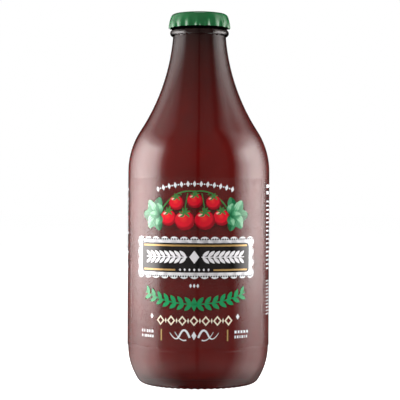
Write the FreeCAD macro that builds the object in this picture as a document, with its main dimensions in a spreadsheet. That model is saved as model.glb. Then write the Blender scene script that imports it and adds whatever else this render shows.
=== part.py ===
import FreeCAD, Part
import math
import os
from types import SimpleNamespace

import Sketcher

# A filled glass sauce bottle with a pressed-on crown cap and two clear film labels.
# Millimetres, +Z up. The origin is the centre of the circle on which the bottle stands,
# and the front label faces -Y.

SIZES = {
    # bottle outside
    "bottle_height": 169.0,
    "body_diameter": 65.2,
    "shoulder_drop": 71.9,      # from the lip down to the top of the straight body
    "shoulder_radius": 34.6,
    "flank_radius": 93.5,       # hollow curve between the shoulder and the neck
    "neck_diameter": 24.3,      # where it runs into the neck ring
    "heel_height": 17.0,
    "heel_step": 0.28,          # how far the heel stands back from the straight body
    "step_rise": 0.8,
    "heel_inset": 8.1,          # from the straight body in to the standing ring
    "corner_radius": 4.0,
    "bearing_width": 1.6,
    "rim_round": 2.5,
    "punt_height": 4.0,
    # knurls under the standing ring
    "knurl_radius": 1.75,
    "knurl_depth": 0.5,
    "knurl_land": 0.2,
    # bottle inside
    "wall": 2.6,
    "base_thickness": 5.0,      # on the axis, over the punt
    "rim_thickness": 5.5,       # over the standing ring
    "inner_corner": 9.0,
    "bore_diameter": 16.0,
    "throat_drop": 6.5,         # from the lip down to where the bore starts to widen
    "mouth_round": 1.0,
    # crown finish
    "ring_stand": 1.45,         # how far the neck ring stands out of the neck
    "ring_round": 1.6,
    "ring_drop": 7.9,           # from the lip down to the middle of the neck ring
    "bead_diameter": 26.6,
    "groove_depth": 0.55,       # how far the groove under the bead lies behind it
    "bead_land": 0.6,
    "bead_slope": 1.3,
    "lip_round": 2.6,
    # sauce
    "headspace": 4.0,
    "sauce_gap": 0.05,
    # crown cap and its sealing liner
    "cap_height": 6.55,
    "cap_sheet": 0.25,
    "bead_clearance": 0.06,     # between the bead and the valleys that pass over it
    "edge_inset": 0.43,         # the cap's rounded edge ends this far inside those valleys
    "cap_round": 1.9,
    "cap_turn": 70.0,           # degrees turned by the rounded edge
    "flute_middle": 0.36,       # how far the crests stand over the valleys on the bead
    "flute_hem": 0.75,          # how far they stand over them at the hem
    "valley_grip": 0.21,        # how far the valleys are pressed in under the bead
    "flute_count": 21,
    "flute_sharpness": 1.4,
    "liner_thickness": 0.7,
    "liner_gap": 0.03,
    # labels
    "film": 0.12,
    "label_glue": 0.03,
    "label_headroom": 3.0,      # straight glass left bare over a label
    "label_margin": 1.0,        # and under it
    "front_width": 72.8,
    "label_spacing": 2.6,       # bare glass between the two labels, along the wall
    "label_corner": 2.0,
}
s = SimpleNamespace(**SIZES)

os.makedirs("parts", exist_ok=True)
doc = FreeCAD.newDocument("SauceBottle")
sheet = doc.addObject("Spreadsheet::Sheet", "Sizes")
for row, (alias, value) in enumerate(SIZES.items(), start=1):
    sheet.set(f"A{row}", alias)
    sheet.set(f"B{row}", str(value))
    sheet.setAlias(f"B{row}", alias)
doc.recompute()


def toward(start, target, distance):
    """The point that lies this far from start, in the direction of target."""
    span = math.dist(start, target)
    return tuple(a + (b - a) * distance / span for a, b in zip(start, target))


def third_corner(a, reach_a, b, reach_b):
    """The point at these distances from a and b, on the right of the way from a to b."""
    span = math.dist(a, b)
    along = (reach_a**2 - reach_b**2 + span**2) / (2 * span)
    aside = math.sqrt(reach_a**2 - along**2)
    step = ((b[0] - a[0]) / span, (b[1] - a[1]) / span)
    return (a[0] + along * step[0] + aside * step[1], a[1] + along * step[1] - aside * step[0])


def dome_radius(reach, rounding, rise):
    """Radius of an arc centred on the axis that rises by rise over the bottom of a rounding
    whose centre is reach away from the axis, and that touches the rounding."""
    return (reach**2 - 2 * rounding * rise + rise**2) / (2 * rise)


def own_datum(body, role):
    """One of the body's own origin planes or axes."""
    return next(item for item in body.Origin.OriginFeatures if item.Role == role)


def bind(sketch, kind, *items, size):
    """Add a constraint whose value follows an expression over the sheet."""
    value = float(sketch.evalExpression(size))
    if kind == "Angle":
        value = math.radians(value)
        size = f"({size}) * 1 deg"
    number = sketch.addConstraint(Sketcher.Constraint(kind, *items, value))
    sketch.setExpression(f"Constraints[{number}]", size)


class Outline:
    """A closed sketch outline, drawn from point to point in one of a body's own planes."""

    def __init__(self, body, name, role, start):
        self.sketch = body.newObject("Sketcher::SketchObject", name)
        self.sketch.AttachmentSupport = [(own_datum(body, role), "")]
        self.sketch.MapMode = "FlatFace"
        self.here = start
        self.ends = []

    def join(self, piece, first, last, smooth):
        """Tie a new piece to the one before it, touching smoothly or at a corner."""
        if self.ends:
            kind = "Tangent" if smooth else "Coincident"
            self.tie(kind, *self.ends[-1][1], piece, first)
        self.ends.append(((piece, first), (piece, last)))
        return piece

    def line(self, end, smooth=False):
        edge = Part.LineSegment(FreeCAD.Vector(*self.here), FreeCAD.Vector(*end))
        piece = self.sketch.addGeometry(edge, False)
        self.here = end
        return self.join(piece, 1, 2, smooth)

    def arc(self, centre, end, clockwise=False, smooth=False):
        first, last = (end, self.here) if clockwise else (self.here, end)
        turn_first = math.atan2(first[1] - centre[1], first[0] - centre[0])
        turn_last = math.atan2(last[1] - centre[1], last[0] - centre[0])
        if turn_last < turn_first:
            turn_last += 2 * math.pi
        circle = Part.Circle(FreeCAD.Vector(*centre), FreeCAD.Vector(0, 0, 1), math.dist(centre, end))
        piece = self.sketch.addGeometry(Part.ArcOfCircle(circle, turn_first, turn_last), False)
        self.here = end
        if clockwise:
            return self.join(piece, 2, 1, smooth)
        return self.join(piece, 1, 2, smooth)

    def tie(self, kind, *items, size=None):
        """Add a constraint, with its size as an expression where it has one."""
        if size is None:
            self.sketch.addConstraint(Sketcher.Constraint(kind, *items))
        else:
            bind(self.sketch, kind, *items, size=size)

    def reach(self, piece, point, size):
        """Distance of a point from the sketch's upright axis."""
        self.tie("DistanceX", -1, 1, piece, point, size=size)

    def level(self, piece, point, size):
        """Height of a point over the sketch's origin."""
        self.tie("DistanceY", -1, 1, piece, point, size=size)

    def close(self):
        self.tie("Coincident", *self.ends[-1][1], *self.ends[0][0])
        return self.sketch


def add_body(name):
    body = doc.addObject("PartDesign::Body", name.title().replace("_", ""))
    body.Label = name
    return body


def spin(body, kind, name, sketch):
    """Turn a sketch once round the upright axis, as a solid or as a cut."""
    feature = body.newObject(f"PartDesign::{kind}", name)
    feature.Profile = sketch
    feature.ReferenceAxis = (sketch, ["V_Axis"])
    feature.Angle = 360.0
    body.Tip = feature
    doc.recompute()
    return feature


def bottle_outside(body):
    """Half section of the bottle's outer form, from the punt round to the lip."""
    body_r = s.body_diameter / 2
    heel_r = body_r - s.heel_step
    neck_r = s.neck_diameter / 2
    bead_r = s.bead_diameter / 2
    groove_r = bead_r - s.groove_depth
    bearing_out = body_r - s.heel_inset
    bearing_in = bearing_out - s.bearing_width
    shoulder_z = s.bottle_height - s.shoulder_drop

    punt_r = dome_radius(bearing_in, s.rim_round, s.punt_height)
    punt_centre = (0, s.punt_height - punt_r)
    rim_centre = (bearing_in, s.rim_round)
    inset = heel_r - bearing_out
    heel_radius = (inset**2 + s.heel_height**2 - 2 * s.heel_height * s.corner_radius) / (
        2 * (inset - s.corner_radius))
    corner_centre = (bearing_out, s.corner_radius)
    heel_centre = (heel_r - heel_radius, s.heel_height)
    ring_z = s.bottle_height - s.ring_drop
    neck_top = (neck_r, ring_z - s.ring_round / 2)
    shoulder_centre = (body_r - s.shoulder_radius, shoulder_z)
    flank_centre = third_corner(shoulder_centre, s.shoulder_radius + s.flank_radius,
                                neck_top, s.flank_radius)
    lip_z = s.bottle_height - s.lip_round
    bead_z = lip_z - s.bead_land

    draw = Outline(body, "OutsideSketch", "XZ_Plane", (0, s.bottle_height))
    axis = draw.line((0, s.punt_height))
    punt = draw.arc(punt_centre, toward(punt_centre, rim_centre, punt_r), clockwise=True)
    rim = draw.arc(rim_centre, (bearing_in, 0), smooth=True)
    bearing = draw.line((bearing_out, 0), smooth=True)
    corner = draw.arc(corner_centre, toward(heel_centre, corner_centre, heel_radius), smooth=True)
    heel = draw.arc(heel_centre, (heel_r, s.heel_height), smooth=True)
    step = draw.line((body_r, s.heel_height + s.step_rise))
    side = draw.line((body_r, shoulder_z))
    shoulder = draw.arc(shoulder_centre, toward(shoulder_centre, flank_centre, s.shoulder_radius),
                        smooth=True)
    flank = draw.arc(flank_centre, neck_top, clockwise=True, smooth=True)
    behind_ring = draw.line((groove_r, ring_z + s.ring_round / 2))
    groove = draw.line((groove_r, bead_z - s.bead_slope))
    slope = draw.line((bead_r, bead_z))
    land = draw.line((bead_r, lip_z))
    lip = draw.arc((bead_r - s.lip_round, lip_z), (bead_r - s.lip_round, s.bottle_height), smooth=True)
    top = draw.line((0, s.bottle_height), smooth=True)
    sketch = draw.close()

    draw.tie("PointOnObject", axis, 1, -2)
    draw.tie("Vertical", axis)
    draw.tie("PointOnObject", punt, 3, -2)
    draw.level(punt, 2, "Sizes.punt_height")
    draw.tie("Radius", rim, size="Sizes.rim_round")
    draw.tie("PointOnObject", bearing, 1, -1)
    draw.tie("Horizontal", bearing)
    draw.tie("DistanceX", bearing, 1, bearing, 2, size="Sizes.bearing_width")
    draw.tie("DistanceX", bearing, 2, side, 1, size="Sizes.heel_inset")
    draw.tie("Radius", corner, size="Sizes.corner_radius")
    draw.tie("Horizontal", heel, 3, heel, 2)
    draw.level(heel, 2, "Sizes.heel_height")
    draw.tie("DistanceX", step, 1, step, 2, size="Sizes.heel_step")
    draw.tie("DistanceY", step, 1, step, 2, size="Sizes.step_rise")
    draw.tie("Vertical", side)
    draw.reach(side, 1, "Sizes.body_diameter / 2")
    draw.tie("DistanceY", side, 2, axis, 1, size="Sizes.shoulder_drop")
    draw.tie("Radius", shoulder, size="Sizes.shoulder_radius")
    draw.tie("Radius", flank, size="Sizes.flank_radius")
    draw.reach(behind_ring, 1, "Sizes.neck_diameter / 2")
    draw.tie("DistanceY", behind_ring, 1, axis, 1, size="Sizes.ring_drop + Sizes.ring_round / 2")
    draw.tie("DistanceY", behind_ring, 1, behind_ring, 2, size="Sizes.ring_round")
    draw.tie("Vertical", groove)
    draw.tie("DistanceX", groove, 2, slope, 2, size="Sizes.groove_depth")
    draw.tie("DistanceY", slope, 1, slope, 2, size="Sizes.bead_slope")
    draw.tie("Vertical", land)
    draw.tie("DistanceY", land, 1, land, 2, size="Sizes.bead_land")
    draw.reach(land, 1, "Sizes.bead_diameter / 2")
    draw.tie("Radius", lip, size="Sizes.lip_round")
    draw.tie("Horizontal", top)
    draw.level(axis, 1, "Sizes.bottle_height")
    return sketch


def inside_outline(body, name, gap):
    """Half section of the space inside the glass, drawn in from its wall by the size named gap."""
    room = SIZES[gap] if gap else 0.0
    less = f" - Sizes.{gap}" if gap else ""
    more = f" + Sizes.{gap}" if gap else ""
    above = 1.0

    inner_r = s.body_diameter / 2 - s.wall - room
    corner_r = s.inner_corner - room
    bore_r = s.bore_diameter / 2 - room
    mouth_r = s.mouth_round + room
    shoulder_r = s.shoulder_radius - s.wall - room
    shoulder_z = s.bottle_height - s.shoulder_drop
    floor_z = s.punt_height + s.base_thickness + room
    rim_z = s.rim_thickness + room
    floor_r = dome_radius(inner_r - corner_r, corner_r, floor_z - rim_z)
    floor_centre = (0, floor_z - floor_r)
    corner_centre = (inner_r - corner_r, rim_z + corner_r)
    shoulder_centre = (inner_r - shoulder_r, shoulder_z)
    throat_z = s.bottle_height - s.throat_drop
    over = bore_r - shoulder_centre[0]
    flank_r = (over**2 + (throat_z - shoulder_z)**2 - shoulder_r**2) / (2 * (shoulder_r - over))
    flank_centre = (bore_r + flank_r, throat_z)
    mouth_z = s.bottle_height - s.mouth_round
    mouth_centre = (bore_r + mouth_r, mouth_z)
    top_z = s.bottle_height + above

    draw = Outline(body, name, "XZ_Plane", (0, top_z))
    axis = draw.line((0, floor_z))
    floor = draw.arc(floor_centre, toward(floor_centre, corner_centre, floor_r), clockwise=True)
    corner = draw.arc(corner_centre, (inner_r, corner_centre[1]), smooth=True)
    side = draw.line((inner_r, shoulder_z), smooth=True)
    shoulder = draw.arc(shoulder_centre, toward(shoulder_centre, flank_centre, shoulder_r), smooth=True)
    draw.arc(flank_centre, (bore_r, throat_z), clockwise=True, smooth=True)
    bore = draw.line((bore_r, mouth_z), smooth=True)
    mouth = draw.arc(mouth_centre, (mouth_centre[0], mouth_z + mouth_r), clockwise=True, smooth=True)
    collar = draw.line((mouth_centre[0], top_z))
    top = draw.line((0, top_z))
    sketch = draw.close()

    draw.tie("PointOnObject", axis, 1, -2)
    draw.tie("Vertical", axis)
    draw.tie("PointOnObject", floor, 3, -2)
    draw.level(floor, 2, f"Sizes.punt_height + Sizes.base_thickness{more}")
    draw.tie("Radius", corner, size=f"Sizes.inner_corner{less}")
    draw.level(corner, 3, "Sizes.rim_thickness + Sizes.inner_corner")
    draw.tie("Vertical", side)
    draw.reach(side, 1, f"Sizes.body_diameter / 2 - Sizes.wall{less}")
    draw.level(side, 2, "Sizes.bottle_height - Sizes.shoulder_drop")
    draw.tie("Radius", shoulder, size=f"Sizes.shoulder_radius - Sizes.wall{less}")
    draw.tie("Vertical", bore)
    draw.level(bore, 1, "Sizes.bottle_height - Sizes.throat_drop")
    draw.reach(bore, 1, f"Sizes.bore_diameter / 2{less}")
    draw.level(bore, 2, "Sizes.bottle_height - Sizes.mouth_round")
    draw.tie("Radius", mouth, size=f"Sizes.mouth_round{more}")
    draw.tie("Vertical", mouth, 3, mouth, 1)
    draw.tie("Vertical", collar)
    draw.tie("Horizontal", top)
    draw.level(top, 1, f"Sizes.bottle_height + {above}")
    return sketch


def add_ring(body):
    """The round ring about the neck, just under the cap."""
    sketch = body.newObject("Sketcher::SketchObject", "RingSketch")
    sketch.AttachmentSupport = [(own_datum(body, "XZ_Plane"), "")]
    sketch.MapMode = "FlatFace"
    centre = (s.neck_diameter / 2 + s.ring_stand - s.ring_round, s.bottle_height - s.ring_drop)
    circle = Part.Circle(FreeCAD.Vector(*centre), FreeCAD.Vector(0, 0, 1), s.ring_round)
    section = sketch.addGeometry(circle, False)
    bind(sketch, "Radius", section, size="Sizes.ring_round")
    reach = "Sizes.neck_diameter / 2 + Sizes.ring_stand - Sizes.ring_round"
    bind(sketch, "DistanceX", -1, 1, section, 3, size=reach)
    bind(sketch, "DistanceY", -1, 1, section, 3, size="Sizes.bottle_height - Sizes.ring_drop")
    spin(body, "Revolution", "Ring", sketch)


def add_knurls(body):
    """One radial half-round groove under the standing ring, repeated all round it."""
    under = 0.05
    height = s.knurl_depth + under
    half = math.sqrt(2 * s.knurl_radius * height - height**2)
    draw = Outline(body, "KnurlSketch", "XZ_Plane", (half, -under))
    arch = draw.arc((0, s.knurl_depth - s.knurl_radius), (-half, -under))
    chord = draw.line((half, -under))
    sketch = draw.close()
    draw.tie("PointOnObject", arch, 3, -2)
    draw.tie("Horizontal", chord)
    draw.tie("DistanceY", arch, 3, -1, 1, size="Sizes.knurl_radius - Sizes.knurl_depth")
    draw.tie("DistanceY", chord, 1, -1, 1, size=f"{under}")
    draw.tie("Radius", arch, size="Sizes.knurl_radius")
    standing = "Sizes.body_diameter / 2 - Sizes.heel_inset"
    sketch.setExpression("AttachmentOffset.Base.z", f"{standing} + Sizes.corner_radius")

    cut = body.newObject("PartDesign::Pocket", "Knurl")
    cut.Profile = sketch
    cut.Type = "Length"
    cut.setExpression("Length", "Sizes.corner_radius + Sizes.bearing_width + Sizes.rim_round")
    body.Tip = cut
    doc.recompute()

    ring = body.newObject("PartDesign::PolarPattern", "Knurls")
    ring.Originals = [cut]
    ring.Axis = (own_datum(body, "Z_Axis"), [""])
    ring.Angle = 360.0
    groove = "2 * sqrt(2 * Sizes.knurl_radius * Sizes.knurl_depth - Sizes.knurl_depth ^ 2)"
    pitch = f"({groove} + Sizes.knurl_land)"
    ring.setExpression("Occurrences", f"floor(2 * pi * ({standing} - Sizes.bearing_width) / {pitch})")
    body.Tip = ring
    doc.recompute()


def make_bottle():
    body = add_body("bottle")
    spin(body, "Revolution", "Outside", bottle_outside(body))
    add_ring(body)
    add_knurls(body)
    spin(body, "Groove", "Inside", inside_outline(body, "InsideSketch", None))
    return body


def make_sauce():
    """The sauce fills the glass up to its level in the neck."""
    body = add_body("sauce")
    spin(body, "Revolution", "Fill", inside_outline(body, "FillSketch", "sauce_gap"))
    level = body.newObject("Sketcher::SketchObject", "LevelSketch")
    level.AttachmentSupport = [(own_datum(body, "XY_Plane"), "")]
    level.MapMode = "FlatFace"
    level.setExpression("AttachmentOffset.Base.z", "Sizes.bottle_height - Sizes.headspace")
    circle = Part.Circle(FreeCAD.Vector(), FreeCAD.Vector(0, 0, 1), s.body_diameter / 2)
    disc = level.addGeometry(circle, False)
    level.addConstraint(Sketcher.Constraint("Coincident", disc, 3, -1, 1))
    bind(level, "Diameter", disc, size="Sizes.body_diameter")
    cut = body.newObject("PartDesign::Pocket", "Headspace")
    cut.Profile = level
    cut.Reversed = True
    cut.Type = "ThroughAll"
    body.Tip = cut
    doc.recompute()
    return body


def through(share, start, middle, end):
    """A smooth run of sizes through its start, its middle and its end."""
    return start + share * (4 * middle - 3 * start - end) + share**2 * (2 * start + 2 * end - 4 * middle)


def closed_ring(level, crest, valley, inset):
    """A closed spline round the axis at one level, in waves between the radii of its crests and
    valleys, and drawn in from there by inset, square to the waves."""
    steps = 8 * s.flute_count
    points = []
    for step in range(steps):
        turn = 2 * math.pi * step / steps
        phase = s.flute_count * turn
        rise = (1 + math.cos(phase)) / 2
        radius = valley + (crest - valley) * rise**s.flute_sharpness
        steepness = s.flute_sharpness * rise**(s.flute_sharpness - 1) * -math.sin(phase) / 2
        slope = (crest - valley) * steepness * s.flute_count
        outward = FreeCAD.Vector(radius, -slope, 0).normalize()
        facing_front = FreeCAD.Rotation(FreeCAD.Vector(0, 0, 1), math.degrees(turn) - 90)
        place = facing_front.multVec(FreeCAD.Vector(radius, 0, 0) - outward * inset)
        points.append(place + FreeCAD.Vector(0, 0, level))
    curve = Part.BSplineCurve()
    curve.interpolate(Points=points, PeriodicFlag=True)
    return Part.Wire(curve.toShape())


VALLEY_OVER_BEAD = "Sizes.bead_diameter / 2 + Sizes.bead_clearance + Sizes.cap_sheet"
CAP_EDGE = f"{VALLEY_OVER_BEAD} - Sizes.edge_inset"
CAP_FLAT = f"{CAP_EDGE} - Sizes.cap_round * sin(Sizes.cap_turn * 1 deg)"


def cap_skin(inset):
    """The space inside the cap's outer skin, or inside its inner one at the sheet's depth.

    The flat top runs over a rounded edge into the skirt, where the flutes deepen down to the
    hem, five levels below that edge, and on for one level more."""
    over_bead = float(sheet.evalExpression(VALLEY_OVER_BEAD))
    edge = float(sheet.evalExpression(CAP_EDGE))
    flat = float(sheet.evalExpression(CAP_FLAT))
    top = s.liner_thickness + s.cap_sheet
    centre_z = top - s.cap_round
    radius = s.cap_round - inset
    turn = math.radians(s.cap_turn)
    rings = []
    for quarter in range(5):
        reach = flat + radius * math.sin(turn * quarter / 4)
        rings.append(closed_ring(centre_z + radius * math.cos(turn * quarter / 4), reach, reach, 0))
    edge_z = centre_z + s.cap_round * math.cos(turn)
    for fifth in range(1, 7):
        share = fifth / 5
        crest = through(share, edge, over_bead + s.flute_middle, over_bead + s.flute_hem)
        valley = through(share, edge, over_bead, over_bead - s.valley_grip)
        level = edge_z + (top - s.cap_height - edge_z) * share
        rings.append(closed_ring(level, crest, valley, inset))
    return Part.makeLoft(rings, True, False)


def make_cap():
    """Crown cap: one sheet of even thickness, pressed into flutes that grip under the bead."""
    cap = doc.addObject("Part::Feature", "CrownCap")
    cap.Label = "crown_cap"
    hem_z = s.liner_thickness + s.cap_sheet - s.cap_height
    below = Part.makeCylinder(s.bead_diameter, s.cap_height, FreeCAD.Vector(0, 0, hem_z - s.cap_height))
    cap.Shape = cap_skin(0.0).cut(cap_skin(s.cap_sheet)).cut(below)
    cap.setExpression("Placement.Base.z", "Sizes.bottle_height")
    return cap


def make_liner():
    """Sealing liner: it fills the cap from its rounded edge down to the plane of the lip."""
    body = add_body("cap_liner")
    radius = s.cap_round - s.cap_sheet - s.liner_gap
    centre = (float(sheet.evalExpression(CAP_FLAT)), s.liner_thickness + s.cap_sheet - s.cap_round)
    top_z = centre[1] + radius
    edge_x = centre[0] + math.sqrt(radius**2 - centre[1]**2)
    draw = Outline(body, "LinerSketch", "XZ_Plane", (0, 0))
    under = draw.line((edge_x, 0))
    edge = draw.arc(centre, (centre[0], top_z))
    top = draw.line((0, top_z), smooth=True)
    axis = draw.line((0, 0))
    sketch = draw.close()
    draw.tie("Coincident", under, 1, -1, 1)
    draw.tie("Horizontal", under)
    draw.tie("Horizontal", top)
    draw.tie("Vertical", axis)
    draw.tie("Radius", edge, size="Sizes.cap_round - Sizes.cap_sheet - Sizes.liner_gap")
    draw.reach(edge, 3, CAP_FLAT)
    draw.level(top, 1, "Sizes.liner_thickness - Sizes.liner_gap")
    spin(body, "Revolution", "Liner", sketch)
    body.setExpression("Placement.Base.z", "Sizes.bottle_height")
    return body


def make_label(name, span, turn):
    """A clear film label round the straight body: span is its angle, turn where it faces."""
    body = add_body(name)
    inner = s.body_diameter / 2 + s.label_glue
    outer = inner + s.film
    half = math.radians(float(sheet.evalExpression(span)) / 2)
    start = -math.pi / 2 - half
    end = -math.pi / 2 + half

    def at(radius, angle):
        return (radius * math.cos(angle), radius * math.sin(angle))

    draw = Outline(body, f"{body.Name}Sketch", "XY_Plane", at(outer, start))
    outside = draw.arc((0, 0), at(outer, end))
    draw.line(at(inner, end))
    inside = draw.arc((0, 0), at(inner, start), clockwise=True)
    draw.line(at(outer, start))
    sketch = draw.close()
    for piece in (outside, inside):
        draw.tie("Coincident", piece, 3, -1, 1)
        draw.tie("Symmetric", piece, 1, piece, 2, -2)
        draw.tie("Angle", piece, size=span)
    glass = "Sizes.body_diameter / 2 + Sizes.label_glue"
    draw.tie("Radius", outside, size=f"{glass} + Sizes.film")
    draw.tie("Radius", inside, size=glass)
    pad = body.newObject("PartDesign::Pad", f"{body.Name}Film")
    pad.Profile = sketch
    low = "Sizes.heel_height + Sizes.step_rise + Sizes.label_margin"
    pad.setExpression(
        "Length", f"Sizes.bottle_height - Sizes.shoulder_drop - Sizes.label_headroom - ({low})")
    body.Tip = pad
    doc.recompute()

    corners = []
    for number, edge in enumerate(pad.Shape.Edges, start=1):
        flat = abs(edge.Vertexes[0].Z - edge.Vertexes[-1].Z) < 1e-6
        if flat and abs(edge.Length - s.film) < 1e-6:
            corners.append(f"Edge{number}")
    fillet = body.newObject("PartDesign::Fillet", f"{body.Name}Corners")
    fillet.Base = (pad, corners)
    fillet.setExpression("Radius", "Sizes.label_corner")
    body.Tip = fillet
    body.setExpression("Placement.Base.z", low)
    body.Placement.Rotation = FreeCAD.Rotation(FreeCAD.Vector(0, 0, 1), turn)
    return body


around = "(Sizes.body_diameter / 2 + Sizes.label_glue)"
front_span = f"Sizes.front_width / {around} * 180 / pi"
back_span = f"360 - (Sizes.front_width + 2 * Sizes.label_spacing) / {around} * 180 / pi"
parts = [
    make_bottle(),
    make_sauce(),
    make_cap(),
    make_liner(),
    make_label("front_label", front_span, 0),
    make_label("back_label", back_span, 180),
]
doc.recompute()

for item in doc.Objects:
    if "Invalid" in item.State or "Error" in item.State:
        raise RuntimeError(f"{item.Label} failed: {item.State}")
    if item.TypeId == "Sketcher::SketchObject" and not item.FullyConstrained:
        raise RuntimeError(f"{item.Label} is not fully constrained")
for part in parts:
    if part.Shape.isNull() or not part.Shape.isValid() or len(part.Shape.Solids) != 1:
        raise RuntimeError(f"{part.Label} is not one valid solid")
for part in parts:
    part.Shape.exportStep(f"parts/{part.Label}.step")
    print(f"{part.Label}: {part.Shape.Volume / 1000:.2f} ml, box {part.Shape.BoundBox}")
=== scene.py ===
import math

import bmesh
import bpy
from mathutils import Matrix, Vector


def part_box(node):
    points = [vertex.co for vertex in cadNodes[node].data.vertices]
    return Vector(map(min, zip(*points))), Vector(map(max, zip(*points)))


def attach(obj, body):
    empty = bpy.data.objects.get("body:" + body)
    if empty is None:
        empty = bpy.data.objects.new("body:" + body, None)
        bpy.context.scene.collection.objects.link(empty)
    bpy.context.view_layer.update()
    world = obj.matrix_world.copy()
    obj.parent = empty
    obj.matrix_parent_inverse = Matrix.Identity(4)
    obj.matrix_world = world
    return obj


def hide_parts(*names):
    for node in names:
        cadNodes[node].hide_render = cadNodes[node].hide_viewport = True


# A filled glass sauce bottle with a green crown cap and two clear printed labels.
# Metres, +Z up. The front label faces -Y.

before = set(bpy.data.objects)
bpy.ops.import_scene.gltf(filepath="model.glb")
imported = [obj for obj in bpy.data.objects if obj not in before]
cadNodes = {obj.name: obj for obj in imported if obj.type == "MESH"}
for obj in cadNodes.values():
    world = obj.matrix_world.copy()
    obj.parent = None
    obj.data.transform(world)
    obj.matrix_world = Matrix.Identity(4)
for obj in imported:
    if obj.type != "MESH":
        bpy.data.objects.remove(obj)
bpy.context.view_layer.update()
mm = 0.001
print("frame loaded:", sorted(cadNodes))


def linearColour(hexValue):
    # an sRGB hex string, as a paint program shows it, in linear RGBA
    shares = [int(hexValue[i:i + 2], 16) / 255 for i in (1, 3, 5)]
    return [v / 12.92 if v <= 0.04045 else ((v + 0.055) / 1.055) ** 2.4 for v in shares] + [1.0]


def addNode(tree, kind, inputs=None, stops=(), **settings):
    # inputs holds values, sockets, or other nodes, which stand for their first output. stops
    # are a colour ramp's places and hex colours.
    node = tree.nodes.new(kind)
    for name, value in settings.items():
        setattr(node, name, value)
    for key, value in (inputs or {}).items():
        if isinstance(value, bpy.types.Node):
            value = value.outputs[0]
        if isinstance(value, bpy.types.NodeSocket):
            tree.links.new(value, node.inputs[key])
        else:
            node.inputs[key].default_value = value
    if stops:
        ramp = node.color_ramp.elements
        while len(ramp) > 1:
            ramp.remove(ramp[-1])
        for number, (place, hexValue) in enumerate(stops):
            stop = ramp[0] if number == 0 else ramp.new(place)
            stop.position = place
            stop.color = linearColour(hexValue)
    return node


def startMaterial(name):
    material = bpy.data.materials.new(name)
    material.use_nodes = True
    material.node_tree.nodes.clear()
    return material, material.node_tree


def addPiece(name, mesh, material, standsFor=()):
    piece = bpy.data.objects.new(name, mesh)
    bpy.context.scene.collection.objects.link(piece)
    mesh.materials.clear()
    mesh.materials.append(material)
    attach(piece, "root")
    if standsFor:
        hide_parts(*standsFor)
    return piece


def makeGlass():
    # Soda-lime glass, blown in a mould: clear with a faint green cast, fire-polished, and a
    # little uneven in thickness, which bends the reflections. Under the cap's hem a black matt
    # surface is mixed in as painted shade, where the hem keeps the light out.
    values = {"tint": "#f1f8f2", "ior": 1.5, "roughness": 0.015, "waveLength": 26 * mm,
              "waveDepth": 0.05 * mm, "waveDetail": 1.0, "waveRoughness": 0.4,
              "creviceShade": "#030303", "creviceReach": 1.5 * mm, "creviceFade": 0.4 * mm}
    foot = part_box("crown_cap")[0].z - values["creviceReach"]
    tint = linearColour(values["tint"])
    material, tree = startMaterial("sodaLimeGlass")
    place = addNode(tree, "ShaderNodeTexCoord").outputs["Object"]
    height = addNode(tree, "ShaderNodeSeparateXYZ", {"Vector": place})
    inCreviceShade = addNode(tree, "ShaderNodeMapRange", {
        "Value": height.outputs["Z"], "From Min": foot,
        "From Max": foot + values["creviceFade"], "To Min": 0.0, "To Max": 1.0})
    waves = addNode(tree, "ShaderNodeTexNoise", {
        "Vector": place, "Scale": 1 / values["waveLength"], "Detail": values["waveDetail"],
        "Roughness": values["waveRoughness"]})
    bump = addNode(tree, "ShaderNodeBump", {
        "Height": waves.outputs["Fac"], "Distance": values["waveDepth"], "Strength": 1.0})
    glass = addNode(tree, "ShaderNodeBsdfPrincipled", {
        "Base Color": tint, "Transmission Weight": 1.0, "IOR": values["ior"],
        "Roughness": values["roughness"], "Normal": bump})
    # lamps shine straight through to the sauce
    clear = addNode(tree, "ShaderNodeBsdfTransparent", {"Color": tint})
    rays = addNode(tree, "ShaderNodeLightPath")
    lit = addNode(tree, "ShaderNodeMixShader", {
        0: rays.outputs["Is Shadow Ray"], 1: glass, 2: clear})
    # painted shade: a black matt surface in place of the glass under the cap's hem
    shade = addNode(tree, "ShaderNodeBsdfDiffuse", {"Color": linearColour(values["creviceShade"])})
    whole = addNode(tree, "ShaderNodeMixShader", {0: inCreviceShade, 1: lit, 2: shade})
    addNode(tree, "ShaderNodeOutputMaterial", {"Surface": whole})
    return material


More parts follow.
